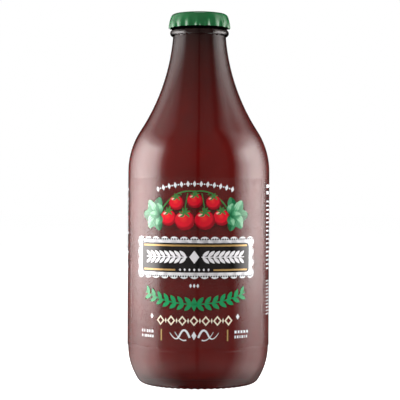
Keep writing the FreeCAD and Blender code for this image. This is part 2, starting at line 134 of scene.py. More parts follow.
def makePassata():
    # Cooked, sieved tomato wetting the glass: dark red, with a fine pulp grain of about 0.6 mm
    # and slow drifts of lighter and darker red. Towards the mouth the colour is darkened as
    # painted shade, for the narrow neck that sends little light back and lies under the cap.
    values = {"dark": "#640a06", "middle": "#6c0b07", "light": "#760e09", "grain": 0.6 * mm,
              "drift": 14 * mm, "driftDetail": 3.0, "grainDetail": 2.0, "grainShare": 0.3,
              "neckShadeTone": "#1a0705", "neckFoot": 0.105, "roughness": 0.6, "ior": 1.15}
    material, tree = startMaterial("passata")
    place = addNode(tree, "ShaderNodeTexCoord").outputs["Object"]
    drift = addNode(tree, "ShaderNodeTexNoise", {
        "Vector": place, "Scale": 1 / values["drift"], "Detail": values["driftDetail"]})
    grain = addNode(tree, "ShaderNodeTexNoise", {
        "Vector": place, "Scale": 1 / values["grain"], "Detail": values["grainDetail"]})
    both = addNode(tree, "ShaderNodeMix", {
        0: values["grainShare"], 2: drift.outputs["Fac"], 3: grain.outputs["Fac"]},
        data_type="FLOAT")
    tone = addNode(tree, "ShaderNodeValToRGB", {"Fac": both}, stops=[
        (0.3, values["dark"]), (0.5, values["middle"]), (0.72, values["light"])])
    height = addNode(tree, "ShaderNodeSeparateXYZ", {"Vector": place})
    # painted shade: a share that rises from neckFoot to the top of the sauce
    inNeckShade = addNode(tree, "ShaderNodeMapRange", {
        "Value": height.outputs["Z"], "From Min": values["neckFoot"],
        "From Max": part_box("sauce")[1].z, "To Min": 0.0, "To Max": 1.0})
    colour = addNode(tree, "ShaderNodeMix", {
        "Factor": inNeckShade, 6: tone.outputs["Color"], 7: linearColour(values["neckShadeTone"])},
        data_type="RGBA")
    body = addNode(tree, "ShaderNodeBsdfPrincipled", {
        "Base Color": colour.outputs[2], "Roughness": values["roughness"],
        "IOR": values["ior"]})
    addNode(tree, "ShaderNodeOutputMaterial", {"Surface": body})
    return material


def makeEnamel():
    # Green stoving enamel roller-coated on tinplate before the cap is pressed: an even opaque
    # green under a glossy skin with a faint orange peel, so the flutes catch pale streaks.
    values = {"colour": "#175f35", "roughness": 0.16, "ior": 1.55, "peel": 1.1 * mm,
              "peelDepth": 0.012 * mm, "peelDetail": 1.0}
    material, tree = startMaterial("greenEnamel")
    place = addNode(tree, "ShaderNodeTexCoord").outputs["Object"]
    peel = addNode(tree, "ShaderNodeTexNoise", {
        "Vector": place, "Scale": 1 / values["peel"], "Detail": values["peelDetail"]})
    bump = addNode(tree, "ShaderNodeBump", {
        "Height": peel.outputs["Fac"], "Distance": values["peelDepth"], "Strength": 1.0})
    paint = addNode(tree, "ShaderNodeBsdfPrincipled", {
        "Base Color": linearColour(values["colour"]), "Roughness": values["roughness"],
        "IOR": values["ior"], "Normal": bump})
    addNode(tree, "ShaderNodeOutputMaterial", {"Surface": paint})
    return material


def makeSealingCompound():
    # Foamed PVC liner: soft, pale grey and slightly grainy.
    values = {"low": "#c9c8c2", "high": "#dedcd6", "grain": 0.4 * mm, "roughness": 0.7}
    material, tree = startMaterial("sealingCompound")
    place = addNode(tree, "ShaderNodeTexCoord").outputs["Object"]
    grain = addNode(tree, "ShaderNodeTexNoise", {
        "Vector": place, "Scale": 1 / values["grain"]})
    tone = addNode(tree, "ShaderNodeValToRGB", {"Fac": grain.outputs["Fac"]}, stops=[
        (0.35, values["low"]), (0.65, values["high"])])
    body = addNode(tree, "ShaderNodeBsdfPrincipled", {
        "Base Color": tone.outputs["Color"], "Roughness": values["roughness"]})
    addNode(tree, "ShaderNodeOutputMaterial", {"Surface": body})
    return material


def makeFilm(nodeName, materialName, facing):
    # Clear polypropylene film glued to the glass: it only shows as a slight smoky haze, and as
    # a painted highlight, a pale line along its upright cut edge. facing turns the label to -Y.
    values = {"haze": 0.005, "edgeHighlight": 0.14, "edgeWidth": 0.4 * mm, "tone": "#f3e9e4",
              "clear": "#fdfcfc", "film": 0.12 * mm, "roughness": 0.3}
    low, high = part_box(nodeName)
    radius = max(-low.y, high.y)
    edgeY = -low.y if facing else high.y
    halfSpan = math.acos(-edgeY / (radius - values["film"]))
    material, tree = startMaterial(materialName)
    place = addNode(tree, "ShaderNodeTexCoord").outputs["Object"]
    turned = addNode(tree, "ShaderNodeMapping", {"Vector": place, "Rotation": (0, 0, facing)})
    parts = addNode(tree, "ShaderNodeSeparateXYZ", {"Vector": turned})
    toFront = addNode(tree, "ShaderNodeMath", {0: parts.outputs["Y"], 1: -1.0},
                      operation="MULTIPLY")
    angle = addNode(tree, "ShaderNodeMath", {0: parts.outputs["X"], 1: toFront},
                    operation="ARCTAN2")
    side = addNode(tree, "ShaderNodeMath", {0: angle}, operation="ABSOLUTE")
    gap = addNode(tree, "ShaderNodeMath", {0: halfSpan, 1: side}, operation="SUBTRACT")
    room = addNode(tree, "ShaderNodeMath", {0: gap, 1: radius}, operation="MULTIPLY")
    # painted highlight: the pale haze thickens towards the cut edge
    share = addNode(tree, "ShaderNodeMapRange", {
        "Value": room, "From Min": 0.0, "From Max": values["edgeWidth"],
        "To Min": values["edgeHighlight"], "To Max": values["haze"]},
        interpolation_type="SMOOTHSTEP")
    clear = addNode(tree, "ShaderNodeBsdfTransparent", {"Color": linearColour(values["clear"])})
    haze = addNode(tree, "ShaderNodeBsdfPrincipled", {
        "Base Color": linearColour(values["tone"]), "Roughness": values["roughness"]})
    mixed = addNode(tree, "ShaderNodeMixShader", {0: share, 1: clear, 2: haze})
    addNode(tree, "ShaderNodeOutputMaterial", {"Surface": mixed})
    return material


varnishRoughness = 0.05    # a plain ink lies under a varnish as glossy as the glass


def makeInk(name, colour, roughness=varnishRoughness, metallic=0.0):
    # Printing ink laid down a little unevenly on the film, so its tone drifts slightly.
    values = {"mottle": 0.8 * mm, "mottleShare": 0.12, "thinTone": 0.75}
    full = linearColour(colour)
    thin = [v * values["thinTone"] for v in full[:3]] + [1.0]
    material, tree = startMaterial(name)
    place = addNode(tree, "ShaderNodeTexCoord").outputs["Object"]
    mottle = addNode(tree, "ShaderNodeTexNoise", {
        "Vector": place, "Scale": 1 / values["mottle"]})
    share = addNode(tree, "ShaderNodeMath", {
        0: mottle.outputs["Fac"], 1: values["mottleShare"]}, operation="MULTIPLY")
    tone = addNode(tree, "ShaderNodeMix", {"Factor": share, 6: full, 7: thin},
                   data_type="RGBA")
    ink = addNode(tree, "ShaderNodeBsdfPrincipled", {
        "Base Color": tone.outputs[2], "Roughness": roughness, "Metallic": metallic})
    addNode(tree, "ShaderNodeOutputMaterial", {"Surface": ink})
    return material


def makeTomatoInk():
    # Four-colour print of a ripe cherry tomato, shaded round and with one pale glint. The UV
    # square runs from -1 to 1 across the fruit.
    values = {"shade": "#8f0a1c", "skin": "#cf1228", "warm": "#e2332f", "glint": "#ffd9c8",
              "warmPlace": (0.12, -0.22, 0), "glintPlace": (0.35, -1.05, 0),
              "glintSquash": (1, 2, 1), "glintCore": 0.12, "glintReach": 0.42,
              "glintShare": 0.85}
    material, tree = startMaterial("tomatoInk")
    uv = addNode(tree, "ShaderNodeTexCoord").outputs["UV"]
    shifted = addNode(tree, "ShaderNodeMapping", {"Vector": uv, "Location": values["warmPlace"]})
    reach = addNode(tree, "ShaderNodeVectorMath", {0: shifted}, operation="LENGTH")
    tone = addNode(tree, "ShaderNodeValToRGB", {"Fac": reach.outputs["Value"]}, stops=[
        (0.0, values["warm"]), (0.45, values["skin"]), (0.8, values["skin"]),
        (1.0, values["shade"])])
    spot = addNode(tree, "ShaderNodeMapping", {
        "Vector": uv, "Location": values["glintPlace"], "Scale": values["glintSquash"]})
    near = addNode(tree, "ShaderNodeVectorMath", {0: spot}, operation="LENGTH")
    glint = addNode(tree, "ShaderNodeMapRange", {
        "Value": near.outputs["Value"], "From Min": values["glintCore"],
        "From Max": values["glintReach"], "To Min": values["glintShare"], "To Max": 0.0},
        interpolation_type="SMOOTHSTEP")
    colour = addNode(tree, "ShaderNodeMix", {
        "Factor": glint, 6: tone.outputs["Color"], 7: linearColour(values["glint"])},
        data_type="RGBA")
    ink = addNode(tree, "ShaderNodeBsdfPrincipled", {
        "Base Color": colour.outputs[2], "Roughness": varnishRoughness})
    addNode(tree, "ShaderNodeOutputMaterial", {"Surface": ink})
    return material


def makeLeafInk(name, deep, fresh, pale):
    # Four-colour print of a basil leaf: U runs along the leaf from 0 to 1 and V across it from
    # -1 to 1. It has a pale midrib, blisters between curved side veins and one half in shade,
    # and it darkens towards its root.
    values = {"veins": 6.0, "blister": 0.55, "litHalf": 0.4, "halfBlend": 0.15, "rib": 0.6,
              "ribCore": 0.03, "ribReach": 0.12, "rootTone": 0.1, "rootFrom": 0.1,
              "rootTo": 0.55}
    material, tree = startMaterial(name)
    uv = addNode(tree, "ShaderNodeTexCoord").outputs["UV"]
    parts = addNode(tree, "ShaderNodeSeparateXYZ", {"Vector": uv})
    across = addNode(tree, "ShaderNodeMath", {0: parts.outputs["Y"]}, operation="ABSOLUTE")
    swept = addNode(tree, "ShaderNodeMath", {0: parts.outputs["X"], 1: across},
                    operation="SUBTRACT")
    turns = addNode(tree, "ShaderNodeMath", {0: swept, 1: values["veins"] * math.pi},
                    operation="MULTIPLY")
    wave = addNode(tree, "ShaderNodeMath", {0: turns}, operation="SINE")
    blister = addNode(tree, "ShaderNodeMapRange", {
        "Value": wave, "From Min": -1.0, "From Max": 1.0, "To Min": 0.0,
        "To Max": values["blister"]})
    half = addNode(tree, "ShaderNodeMapRange", {
        "Value": parts.outputs["Y"], "From Min": -values["halfBlend"],
        "From Max": values["halfBlend"], "To Min": 0.0, "To Max": values["litHalf"]})
    light = addNode(tree, "ShaderNodeMath", {0: blister, 1: half}, operation="ADD")
    rib = addNode(tree, "ShaderNodeMapRange", {
        "Value": across, "From Min": values["ribCore"], "From Max": values["ribReach"],
        "To Min": values["rib"], "To Max": 0.0})
    ribbed = addNode(tree, "ShaderNodeMath", {0: light, 1: rib}, operation="MAXIMUM")
    root = addNode(tree, "ShaderNodeMapRange", {
        "Value": parts.outputs["X"], "From Min": values["rootFrom"],
        "From Max": values["rootTo"], "To Min": values["rootTone"], "To Max": 1.0})
    tint = addNode(tree, "ShaderNodeMath", {0: ribbed, 1: root}, operation="MULTIPLY")
    tone = addNode(tree, "ShaderNodeValToRGB", {"Fac": tint}, stops=[
        (0.0, deep), (0.5, fresh), (1.0, pale)])
    ink = addNode(tree, "ShaderNodeBsdfPrincipled", {
        "Base Color": tone.outputs["Color"], "Roughness": varnishRoughness})
    addNode(tree, "ShaderNodeOutputMaterial", {"Surface": ink})
    return material


def dress(nodeName, material):
    cadNodes[nodeName].material_slots[0].material = material


dress("bottle", makeGlass())
dress("crown_cap", makeEnamel())
dress("cap_liner", makeSealingCompound())
dress("front_label", makeFilm("front_label", "clearFilmFront", 0.0))
dress("back_label", makeFilm("back_label", "clearFilmBack", math.pi))
print("finishes: glass, enamel, liner and films done")


def socketOf(tree, name):
    # a modifier's input is set by its socket's identifier
    return next(item.identifier for item in tree.interface.items_tree
                if item.item_type == "SOCKET" and item.in_out == "INPUT" and item.name == name)


def startGeometryTree(name, inputs):
    # every tree also takes a start mesh and a finish
    tree = bpy.data.node_groups.new(name, "GeometryNodeTree")
    sockets = tree.interface
    sockets.new_socket("Geometry", in_out="INPUT", socket_type="NodeSocketGeometry")
    for label, value in inputs.items():
        kind = {bool: "Bool", int: "Int", float: "Float"}[type(value)]
        socket = sockets.new_socket(label, in_out="INPUT", socket_type="NodeSocket" + kind)
        socket.default_value = value
    sockets.new_socket("Finish", in_out="INPUT", socket_type="NodeSocketMaterial")
    sockets.new_socket("Geometry", in_out="OUTPUT", socket_type="NodeSocketGeometry")
    return tree, tree.nodes.new("NodeGroupInput").outputs


def endGeometryTree(tree, given, geometry):
    # plain geometry with the finish on it, which is all that the export keeps
    real = addNode(tree, "GeometryNodeRealizeInstances", {"Geometry": geometry})
    finished = addNode(tree, "GeometryNodeSetMaterial", {
        "Geometry": real, "Material": given["Finish"]})
    addNode(tree, "NodeGroupOutput", {"Geometry": finished})
    return tree


def growMesh(name, tree, values, start=None):
    # runs a geometry tree on a start mesh and returns what it makes as a plain mesh
    begin = start or bpy.data.meshes.new(name + "Start")
    carrier = bpy.data.objects.new(name + "Carrier", begin)
    bpy.context.scene.collection.objects.link(carrier)
    modifier = carrier.modifiers.new(name, "NODES")
    modifier.node_group = tree
    for label, value in values.items():
        modifier[socketOf(tree, label)] = value
    ready = carrier.evaluated_get(bpy.context.evaluated_depsgraph_get())
    mesh = bpy.data.meshes.new_from_object(ready)
    bpy.data.objects.remove(carrier)
    mesh.name = name
    return mesh


sauceValues = {"intoWall": 0.35 * mm, "weld": 0.001 * mm}


def makeSauce():
    # the CAD fill, its loose triangles merged and pushed out until they just enter the glass
    tree, given = startGeometryTree("fillToGlass", {"Into Wall": 0.0, "Weld": 0.0})
    merged = addNode(tree, "GeometryNodeMergeByDistance", {
        "Geometry": given["Geometry"], "Distance": given["Weld"]})
    outward = addNode(tree, "GeometryNodeInputNormal")
    push = addNode(tree, "ShaderNodeVectorMath", {0: outward, "Scale": given["Into Wall"]},
                   operation="SCALE")
    moved = addNode(tree, "GeometryNodeSetPosition", {"Geometry": merged, "Offset": push})
    smooth = addNode(tree, "GeometryNodeSetShadeSmooth", {"Geometry": moved})
    endGeometryTree(tree, given, smooth)
    passata = makePassata()
    mesh = growMesh("sauce_fill", tree, {
        "Into Wall": sauceValues["intoWall"], "Weld": sauceValues["weld"], "Finish": passata},
        cadNodes["sauce"].data.copy())
    return addPiece("sauce_fill", mesh, passata, ["sauce"])


sauce = makeSauce()
print("sauce done:", len(sauce.data.polygons), "faces")


# Print is drawn flat in millimetres, x across from a label's middle and y up from the table,
# and is then laid round the film as ink with a closed thickness.
printValues = {"stripWidth": 1.2, "cutMargin": 0.0001, "sink": 0.03, "lift": 0.02, "layer": 0.015,
               "sharpFrom": 40, "straight": 5000.0}    # the bow of a row that runs straight
filmRadius = -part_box("front_label")[0].y / mm


def layInk(name, art, material, layer=0, facing=0.0):
    if isinstance(art, bpy.types.Mesh):
        flat = bmesh.new()
        flat.from_mesh(art)
        bpy.data.meshes.remove(art)
    else:
        flat = art
    bmesh.ops.triangulate(flat, faces=flat.faces)
    # upright cuts let the flat drawing follow the round film
    strip = printValues["stripWidth"]
    cuts = math.ceil(max(abs(vert.co.x) for vert in flat.verts) / strip)
    for number in range(-cuts, cuts + 1):
        bmesh.ops.bisect_plane(flat, geom=flat.verts[:] + flat.edges[:] + flat.faces[:],
                               dist=printValues["cutMargin"], plane_co=(number * strip, 0, 0),
                               plane_no=(1, 0, 0))
    pulled = bmesh.ops.extrude_face_region(flat, geom=flat.faces[:], use_keep_orig=True)
    inner = {item for item in pulled["geom"] if isinstance(item, bmesh.types.BMVert)}
    top = printValues["lift"] + layer * printValues["layer"]
    for vert in flat.verts:
        radius = filmRadius + (-printValues["sink"] if vert in inner else top)
        turn = vert.co.x / filmRadius + facing
        vert.co = Vector((radius * math.sin(turn), -radius * math.cos(turn), vert.co.y)) * mm
    bmesh.ops.recalc_face_normals(flat, faces=flat.faces)
    mesh = bpy.data.meshes.new(name)
    flat.to_mesh(mesh)
    flat.free()
    mesh.shade_smooth()
    mesh.set_sharp_from_angle(angle=math.radians(printValues["sharpFrom"]))
    return addPiece(name, mesh, material)


def layGrown(name, tree, ink, values, **where):
    return layInk(name, growMesh(name, tree, {**values, "Finish": ink}), ink, **where)


def fillOutline(art, points, square=None):
    # one flat face, with UVs from -1 to 1 across it where the middle and half sizes are given
    face = art.faces.new([art.verts.new((x, y, 0)) for x, y in points])
    if square:
        middleX, middleY, halfWidth, halfHeight = square
        layer = art.loops.layers.uv.verify()
        for loop in face.loops:
            loop[layer].uv = ((loop.vert.co.x - middleX) / halfWidth,
                              (loop.vert.co.y - middleY) / halfHeight)


def fillBox(art, left, right, low, high):
    fillOutline(art, [(left, low), (right, low), (right, high), (left, high)])


def fillLozenge(art, width, height, middle):
    fillOutline(art, [(-width / 2, middle), (0, middle - height / 2), (width / 2, middle),
                      (0, middle + height / 2)])


def fillStrip(art, rungs, uvs=None):
    # a strip of faces between neighbouring rungs, each a list of points across the strip
    rows = [[art.verts.new((x, y, 0)) for x, y in rung] for rung in rungs]
    layer = art.loops.layers.uv.verify() if uvs else None
    for number in range(len(rows) - 1):
        for step in range(len(rows[0]) - 1):
            spots = [(number, step), (number, step + 1), (number + 1, step + 1),
                     (number + 1, step)]
            face = art.faces.new([rows[i][j] for i, j in spots])
            if uvs:
                for loop, (i, j) in zip(face.loops, spots):
                    loop[layer].uv = uvs[i][j]


def roundedOutline(width, height, corner, middle, steps=6):
    points = []
    for number, (side, rise) in enumerate(((1, 1), (-1, 1), (-1, -1), (1, -1))):
        for step in range(steps + 1):
            angle = math.pi / 2 * (number + step / steps)
            points.append((side * (width / 2 - corner) + corner * math.cos(angle),
                           middle + rise * (height / 2 - corner) + corner * math.sin(angle)))
    return points


def bend(start, middle, end, share):
    # a point on the smooth bow from start to end that is drawn towards middle
    rest = 1 - share
    return Vector([rest * rest * a + 2 * rest * share * b + share * share * c
                   for a, b, c in zip(start, middle, end)])


def drawRibbon(art, start, middle, end, width, taper=1.0, steps=14):
    lookAhead = 0.01    # share of the bow over which its direction is read
    rungs = []
    for step in range(steps + 1):
        share = step / steps
        here = bend(start, middle, end, share)
        ahead = bend(start, middle, end, share + lookAhead) - here
        across = Vector((-ahead.y, ahead.x)).normalized()
        across = across * width / 2 * (1 - (1 - taper) * share)
        rungs.append([tuple(here + across), tuple(here - across)])
    fillStrip(art, rungs)


def drawLeaf(art, root, length, width, heading, curl, steps=18):
    # a broad leaf with a blunt tip, widest a little before its middle; heading is in degrees,
    # and curl bows its midrib
    shape = {"forward": 0.84, "fullness": 0.52, "least": 0.02}
    aim = Vector((math.cos(math.radians(heading)), math.sin(math.radians(heading))))
    side = Vector((-aim.y, aim.x))
    rungs, uvs = [], []
    for step in range(steps + 1):
        share = step / steps
        bow = side * curl * length * math.sin(math.pi * share)
        spine = Vector(root) + aim * length * share + bow
        swell = max(math.sin(math.pi * share ** shape["forward"]), 0.0) ** shape["fullness"]
        half = width / 2 * swell + shape["least"]
        rungs.append([tuple(spine - side * half * v) for v in (-1, -0.5, 0, 0.5, 1)])
        uvs.append([(share, v) for v in (-1, -0.5, 0, 0.5, 1)])
    fillStrip(art, rungs, uvs)


def makeRowTree():
    # repeated marks along a bow: Bow is its radius, above zero for an arch and below for a smile
    tree, given = startGeometryTree("marksOnBow", {
        "Count": 9, "Span": 30.0, "Bow": 60.0, "Height": 0.0, "Shift": 0.0, "Mark Width": 1.0,
        "Mark Height": 1.0, "Sides": 24, "Point": 0.0, "Tilt": 0.0, "Outlined": False,
        "Hole": 0.6})

    # one mark: a disc whose two ends Point draws in, with a hole where it is Outlined
    circle = addNode(tree, "GeometryNodeCurvePrimitiveCircle", {
        "Resolution": given["Sides"], "Radius": 1.0})
    position = addNode(tree, "GeometryNodeInputPosition")
    spot = addNode(tree, "ShaderNodeSeparateXYZ", {"Vector": position}).outputs
    side = addNode(tree, "ShaderNodeMath", {0: spot["X"]}, operation="ABSOLUTE")
    pinch = addNode(tree, "ShaderNodeMath", {0: side, 1: given["Point"]}, operation="POWER")
    pinched = addNode(tree, "ShaderNodeMath", {0: spot["X"], 1: pinch}, operation="MULTIPLY")
    halfWidth = addNode(tree, "ShaderNodeMath", {0: given["Mark Width"], 1: 0.5},
                        operation="MULTIPLY")
    halfHeight = addNode(tree, "ShaderNodeMath", {0: given["Mark Height"], 1: 0.5},
                         operation="MULTIPLY")
    wide = addNode(tree, "ShaderNodeMath", {0: pinched, 1: halfWidth}, operation="MULTIPLY")
    tall = addNode(tree, "ShaderNodeMath", {0: spot["Y"], 1: halfHeight}, operation="MULTIPLY")
    shape = addNode(tree, "ShaderNodeCombineXYZ", {"X": wide, "Y": tall})
    outer = addNode(tree, "GeometryNodeSetPosition", {"Geometry": circle, "Position": shape})
    shrink = addNode(tree, "ShaderNodeCombineXYZ", {
        "X": given["Hole"], "Y": given["Hole"], "Z": 1.0})
    inner = addNode(tree, "GeometryNodeTransform", {"Geometry": outer, "Scale": shrink})
    pair = addNode(tree, "GeometryNodeJoinGeometry")
    tree.links.new(outer.outputs[0], pair.inputs[0])
    tree.links.new(inner.outputs[0], pair.inputs[0])
    chosen = addNode(tree, "GeometryNodeSwitch", {
        "Switch": given["Outlined"], "False": outer, "True": pair}, input_type="GEOMETRY")
    mark = addNode(tree, "GeometryNodeFillCurve", {"Curve": chosen}, mode="TRIANGLES")

    # the marks' places, evenly spaced round the bow, and how far each leans with it
    points = addNode(tree, "GeometryNodeMeshLine", {"Count": given["Count"], "Offset": (0, 0, 0)})
    number = addNode(tree, "GeometryNodeInputIndex")
    last = addNode(tree, "ShaderNodeMath", {0: given["Count"], 1: 1.0}, operation="SUBTRACT")
    gaps = addNode(tree, "ShaderNodeMath", {0: last, 1: 1.0}, operation="MAXIMUM")
    share = addNode(tree, "ShaderNodeMath", {0: number, 1: gaps}, operation="DIVIDE")
    centred = addNode(tree, "ShaderNodeMath", {0: share, 1: 0.5}, operation="SUBTRACT")
    spread = addNode(tree, "ShaderNodeMath", {0: centred, 1: given["Span"]},
                     operation="MULTIPLY")
    along = addNode(tree, "ShaderNodeMath", {0: spread, 1: given["Shift"]}, operation="ADD")
    turn = addNode(tree, "ShaderNodeMath", {0: along, 1: given["Bow"]}, operation="DIVIDE")
    sine = addNode(tree, "ShaderNodeMath", {0: turn}, operation="SINE")
    across = addNode(tree, "ShaderNodeMath", {0: sine, 1: given["Bow"]}, operation="MULTIPLY")
    cosine = addNode(tree, "ShaderNodeMath", {0: turn}, operation="COSINE")
    dip = addNode(tree, "ShaderNodeMath", {0: cosine, 1: 1.0}, operation="SUBTRACT")
    drop = addNode(tree, "ShaderNodeMath", {0: dip, 1: given["Bow"]}, operation="MULTIPLY")
    rise = addNode(tree, "ShaderNodeMath", {0: drop, 1: given["Height"]}, operation="ADD")
    place = addNode(tree, "ShaderNodeCombineXYZ", {"X": across, "Y": rise})
    placed = addNode(tree, "GeometryNodeSetPosition", {"Geometry": points, "Position": place})
    upright = addNode(tree, "ShaderNodeMath", {0: given["Tilt"], 1: turn}, operation="SUBTRACT")
    lean = addNode(tree, "ShaderNodeCombineXYZ", {"Z": upright})
    marks = addNode(tree, "GeometryNodeInstanceOnPoints", {
        "Points": placed, "Instance": mark, "Rotation": lean})
    return endGeometryTree(tree, given, marks)


def makeBeadTree():
    # pearls spaced along a rectangle
    tree, given = startGeometryTree("pearlsRoundPlate", {
        "Width": 50.0, "Depth": 20.0, "Height": 0.0, "Pitch": 2.0, "Pearl": 1.0, "Sides": 24})
    outline = addNode(tree, "GeometryNodeCurvePrimitiveQuadrilateral", {
        "Width": given["Width"], "Height": given["Depth"]})
    spots = addNode(tree, "GeometryNodeCurveToPoints", {
        "Curve": outline, "Length": given["Pitch"]}, mode="LENGTH")
    disc = addNode(tree, "GeometryNodeMeshCircle", {
        "Vertices": given["Sides"], "Radius": given["Pearl"]}, fill_type="NGON")
    pearls = addNode(tree, "GeometryNodeInstanceOnPoints", {"Points": spots, "Instance": disc})
    real = addNode(tree, "GeometryNodeRealizeInstances", {"Geometry": pearls})
    lift = addNode(tree, "ShaderNodeCombineXYZ", {"Y": given["Height"]})
    raised = addNode(tree, "GeometryNodeSetPosition", {"Geometry": real, "Offset": lift})
    return endGeometryTree(tree, given, raised)


def makeLinesTree():
    # lines of plain bars, as long and as far apart as words, where a real label has small print
    tree, given = startGeometryTree("smallPrint", {
        "Left": 0.0, "Top": 0.0, "Width": 20.0, "Lines": 6, "Line Pitch": 1.8, "Words": 12,
        "Word": 3.0, "Gap": 0.28, "Height": 0.7, "Shortest": 0.35, "Longest": 1.4, "Seed": 1})
    total = addNode(tree, "ShaderNodeMath", {0: given["Lines"], 1: given["Words"]},
                    operation="MULTIPLY")
    points = addNode(tree, "GeometryNodeMeshLine", {"Count": total, "Offset": (0, 0, 0)})

    # the line that each word is on; the half keeps rounding away from a line's two ends
    number = addNode(tree, "GeometryNodeInputIndex")
    inside = addNode(tree, "ShaderNodeMath", {0: number, 1: 0.5}, operation="ADD")
    lines = addNode(tree, "ShaderNodeMath", {0: inside, 1: given["Words"]}, operation="DIVIDE")
    line = addNode(tree, "ShaderNodeMath", {0: lines}, operation="FLOOR")

    # each word's length, and its start after the words and gaps before it
    size = addNode(tree, "FunctionNodeRandomValue", {
        2: given["Shortest"], 3: given["Longest"], "Seed": given["Seed"]}, data_type="FLOAT")
    length = addNode(tree, "ShaderNodeMath", {0: size.outputs[1], 1: given["Word"]},
                     operation="MULTIPLY")
    space = addNode(tree, "ShaderNodeMath", {0: given["Word"], 1: given["Gap"]},
                    operation="MULTIPLY")
    step = addNode(tree, "ShaderNodeMath", {0: length, 1: space}, operation="ADD")
    start = addNode(tree, "GeometryNodeAccumulateField", {
        "Value": step, "Group ID": line}, data_type="FLOAT").outputs["Trailing"]
    end = addNode(tree, "ShaderNodeMath", {0: start, 1: length}, operation="ADD")
    tooFar = addNode(tree, "ShaderNodeMath", {0: end, 1: given["Width"]},
                     operation="GREATER_THAN")
    left = addNode(tree, "ShaderNodeMath", {0: given["Left"], 1: start}, operation="ADD")
    half = addNode(tree, "ShaderNodeMath", {0: length, 1: 0.5}, operation="MULTIPLY")
    across = addNode(tree, "ShaderNodeMath", {0: left, 1: half}, operation="ADD")
    drop = addNode(tree, "ShaderNodeMath", {0: line, 1: given["Line Pitch"]},
                   operation="MULTIPLY")
    rise = addNode(tree, "ShaderNodeMath", {0: given["Top"], 1: drop}, operation="SUBTRACT")
    place = addNode(tree, "ShaderNodeCombineXYZ", {"X": across, "Y": rise})
    placed = addNode(tree, "GeometryNodeSetPosition", {"Geometry": points, "Position": place})
    bar = addNode(tree, "GeometryNodeMeshGrid", {
        "Size X": 1.0, "Size Y": 1.0, "Vertices X": 2, "Vertices Y": 2})
    shape = addNode(tree, "ShaderNodeCombineXYZ", {"X": length, "Y": given["Height"], "Z": 1.0})
    kept = addNode(tree, "FunctionNodeBooleanMath", {0: tooFar}, operation="NOT")
    bars = addNode(tree, "GeometryNodeInstanceOnPoints", {
        "Points": placed, "Selection": kept, "Instance": bar, "Scale": shape})
    return endGeometryTree(tree, given, bars)


whiteInk = makeInk("whiteInk", "#e2e4e8")
creamInk = makeInk("creamInk", "#efe2cd")
greenInk = makeInk("greenInk", "#1d8d55")
stemInk = makeInk("stemInk", "#3f7a3e")
blackInk = makeInk("blackInk", "#141414")
goldInk = makeInk("goldInk", "#b8975c", roughness=0.3, metallic=0.3)
tomatoInk = makeTomatoInk()
basilInk = makeLeafInk("basilInk", "#0d5230", "#4b9c70", "#aed6ba")
basilShadeInk = makeLeafInk("basilShadeInk", "#063a1f", "#1d6b42", "#559a70")
rowTree = makeRowTree()
beadTree = makeBeadTree()
linesTree = makeLinesTree()

# Rows of generic marks: an arch at the top, a leaf garland, and lozenges under it.
arch = {"Bow": 64.0, "Height": 91.4}
garland = {"Count": 7, "Span": 20.4, "Bow": -62.0, "Mark Width": 1.9, "Mark Height": 4.4,
           "Point": 0.8}
level = {"Bow": printValues["straight"], "Sides": 4}
rows = {
    "print_arch": (whiteInk, {**arch, "Count": 13, "Span": 35.0, "Mark Width": 1.7,
                              "Mark Height": 2.7, "Sides": 4}),
    "print_arch_dots": (whiteInk, {**arch, "Count": 12, "Span": 32.1, "Mark Width": 0.7,
                                   "Mark Height": 0.7, "Sides": 10}),
    "print_garland_upper_left": (greenInk, {**garland, "Shift": -12.9, "Height": 39.9,
                                            "Tilt": 0.75}),
    "print_garland_upper_right": (greenInk, {**garland, "Shift": 12.9, "Height": 39.9,
                                             "Tilt": -0.75}),
    "print_garland_lower_left": (greenInk, {**garland, "Shift": -12.9, "Height": 37.1,
                                            "Tilt": -0.75}),
    "print_garland_lower_right": (greenInk, {**garland, "Shift": 12.9, "Height": 37.1,
                                             "Tilt": 0.75}),
    "print_lozenge_row": (creamInk, {**level, "Count": 7, "Span": 31.2, "Height": 31.2,
                                     "Mark Width": 3.9, "Mark Height": 4.5, "Outlined": True,
                                     "Hole": 0.6}),
    "print_lozenge_dots": (creamInk, {**level, "Count": 6, "Span": 26.0, "Height": 31.2,
                                      "Mark Width": 0.9, "Mark Height": 2.4}),
    "print_middle_dots": (whiteInk, {**level, "Count": 3, "Span": 3.2, "Height": 46.6,
                                     "Mark Width": 1.2, "Mark Height": 1.9}),
    "print_side_lozenges": (whiteInk, {**level, "Count": 2, "Span": 40.6, "Height": 32.8,
                                       "Mark Width": 1.8, "Mark Height": 2.6}),
}
for name, (ink, values) in rows.items():
    layGrown(name, rowTree, ink, values)

stemValues = {"reach": 24.4, "ends": 43.5, "drawnTo": 33.5, "width": 0.55, "steps": 30,
              "lozengeWidth": 3.4, "lozengeHeight": 6.2, "lozengeAt": 38.5}


def makeGarlandStem():
    v = stemValues
    art = bmesh.new()
    drawRibbon(art, (-v["reach"], v["ends"]), (0, v["drawnTo"]), (v["reach"], v["ends"]),
               v["width"], steps=v["steps"])
    fillLozenge(art, v["lozengeWidth"], v["lozengeHeight"], v["lozengeAt"])
    layInk("print_garland_stem", art, greenInk, layer=1)


makeGarlandStem()
print("print rows done")

